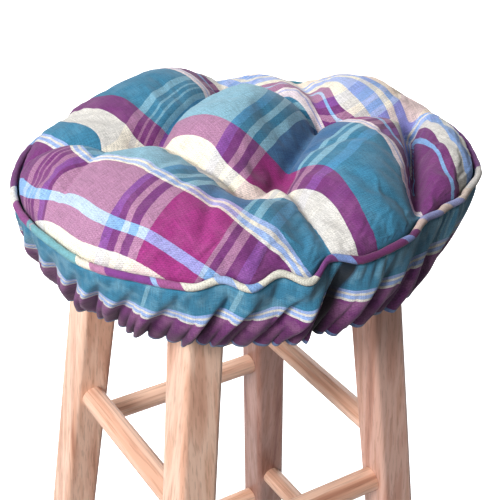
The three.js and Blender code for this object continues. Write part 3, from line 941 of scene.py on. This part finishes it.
def wood_group():
    """The colour and height of wood whose grain runs along the place's third axis."""
    group, source, target = new_group(
        "grain", [("Place", "Vector")], [("Color", "Color"), ("Height", "Float")])
    stretched = node(group, "ShaderNodeVectorMath", operation="MULTIPLY")
    feed(group, stretched, i0=source.outputs["Place"], i1=(1.0, 1.0, GRAIN_STRETCH))
    pores = noise(group, stretched.outputs[0], PORE_SCALE, 2.0)
    rings = noise(group, stretched.outputs[0], RING_SCALE, 4.0)
    tone = stripes(group, rings, [
        (0.30, linear(186, 132, 108)), (0.42, linear(222, 172, 146)), (0.55, linear(244, 204, 180)),
        (0.66, linear(226, 178, 150)), (0.78, linear(196, 144, 118))], "EASE")
    fine = stripes(group, pores, [(0.36, (0.55, 0.48, 0.44, 1)), (0.47, (1, 1, 1, 1))], "EASE")
    group.links.new(mix_colour(group, PORE_SHOW, tone, fine, "MULTIPLY"), target.inputs["Color"])
    group.links.new(pores, target.inputs["Height"])
    return group


def wood_material(name, grain, turn, leg_shade):
    """Wood with its grain turned along the piece, multiplied by the painted shade given for it."""
    material, tree, shader = new_material(name, WOOD_ROUGHNESS)
    place_of = node(tree, "ShaderNodeTexCoord").outputs["Object"]
    turned = node(tree, "ShaderNodeMapping")
    turned.inputs["Rotation"].default_value = turn
    tree.links.new(place_of, turned.inputs["Vector"])
    wood = use_group(tree, grain, Place=turned.outputs[0])
    # Painted shade: the wood's colour multiplied by its leg's shade
    tone = mix_colour(tree, 1.0, wood.outputs["Color"], (*leg_shade, 1), "MULTIPLY")
    tree.links.new(tone, shader.inputs["Base Color"])
    bumped(tree, shader, wood.outputs["Height"], WOOD_BUMP)
    return material


QUARTER = math.pi / 2
GRAIN_TURNS = {"leg": (0, 0, 0), "x": (0, QUARTER, 0), "y": (QUARTER, 0, 0)}     # by the way the grain runs
NO_PAINTED_SHADE = (1, 1, 1)
LEG_PAINTED_SHADE = {  # painted shade: the right and back legs darkened as if the cushion's shadow lay on them
    "leg_front_right": (0.76, 0.70, 0.74), "leg_back_right": (0.50, 0.43, 0.47)}
CLOTH_NODES = ("cushion_pad", "piping", "skirt")


def grain_way(name):
    """The way the grain runs in a piece of the stool: up, to the right or to the back."""
    if name.startswith("leg"):
        return "leg"
    return "y" if "left" in name or "right" in name else "x"


def finish_wood():
    """Gives each wooden piece its wood, with the grain along it and painted shade on the legs listed for it.
    """
    grain, woods = wood_group(), {}
    for name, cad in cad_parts.items():
        if name in CLOTH_NODES:
            continue
        kind = (grain_way(name), LEG_PAINTED_SHADE.get(name, NO_PAINTED_SHADE))
        if kind not in woods:
            way, leg_shade = kind
            woods[kind] = wood_material(f"wood_{way}_{len(woods)}", grain, GRAIN_TURNS[way], leg_shade)
        cad.data.materials.clear()
        cad.data.materials.append(woods[kind])


# Floor, lights and surroundings

FLOOR_SIZE, FLOOR_DROP = 60, 0.0005      # metres
LIGHTS = [  # name, place in metres, power, size
    ("top", (-0.7, 1.3, 2.3), 26, 1.3), ("left", (-1.9, -0.9, 2.0), 64, 0.8),
    ("back", (1.7, 1.5, 1.1), 22, 1.0), ("low", (-2.1, -1.0, 0.7), 15, 0.8)]
LIT_POINT = (0, 0, 0.65)
AROUND_STRENGTH = 0.35


def make_floor():
    bm = bmesh.new()
    bmesh.ops.create_grid(bm, x_segments=1, y_segments=1, size=FLOOR_SIZE)
    floor = new_piece("floor", bm)
    floor.location.z = -FLOOR_DROP
    material, tree, shader = new_material("floor", FLOOR_ROUGHNESS)
    shader.inputs["Base Color"].default_value = linear(245, 245, 245)
    shader.inputs["Emission Color"].default_value = (1, 1, 1, 1)
    shader.inputs["Emission Strength"].default_value = 1.0
    floor.data.materials.append(material)
    floor.visible_diffuse = False


def area_light(name, place_m, power, size):
    """A square light that faces the cushion."""
    light = bpy.data.lights.new(name, "AREA")
    light.energy, light.size = power, size
    lamp = bpy.data.objects.new(name, light)
    lamp.location = place_m
    lamp.rotation_mode = "QUATERNION"
    lamp.rotation_quaternion = (Vector(place_m) - Vector(LIT_POINT)).to_track_quat("Z", "Y")
    scene.collection.objects.link(lamp)


def make_world():
    """Soft light from all round, less from below, and white where the camera sees past the floor."""
    world = bpy.data.worlds.new("studio")
    world.use_nodes = True
    tree = world.node_tree
    background = tree.nodes["Background"]
    up = split_place(tree, node(tree, "ShaderNodeTexCoord").outputs["Generated"])[2]
    around = stripes(tree, math_node(tree, "MULTIPLY_ADD", up, 0.5, 0.5), [
        (0.40, (0.10, 0.10, 0.11, 1)), (0.62, (0.34, 0.34, 0.345, 1))], "EASE")
    seen = node(tree, "ShaderNodeLightPath").outputs["Is Camera Ray"]
    strength = math_node(tree, "MULTIPLY_ADD", seen, 1 - AROUND_STRENGTH, AROUND_STRENGTH)
    tree.links.new(mix_colour(tree, seen, around, (1, 1, 1, 1)), background.inputs["Color"])
    tree.links.new(strength, background.inputs["Strength"])
    scene.world = world


# The scene

make_camera()
pad, piping, skirt = make_pad(), make_piping(), make_skirt()
YARNS, PLAID = yarn_group(), plaid_group()
pad.data.materials.append(cloth_material("pad_plaid", pad_colour, PAD_TWILL))
skirt.data.materials.append(cloth_material("skirt_plaid", skirt_colour, SKIRT_TWILL))
piping.data.materials.append(cloth_material("piping_plaid", piping_colour, PIPING_TWILL))
finish_wood()
make_floor()
for name, place_m, power, size in LIGHTS:
    area_light(name, place_m, power, size)
make_world()
scene.view_settings.view_transform = "Standard"
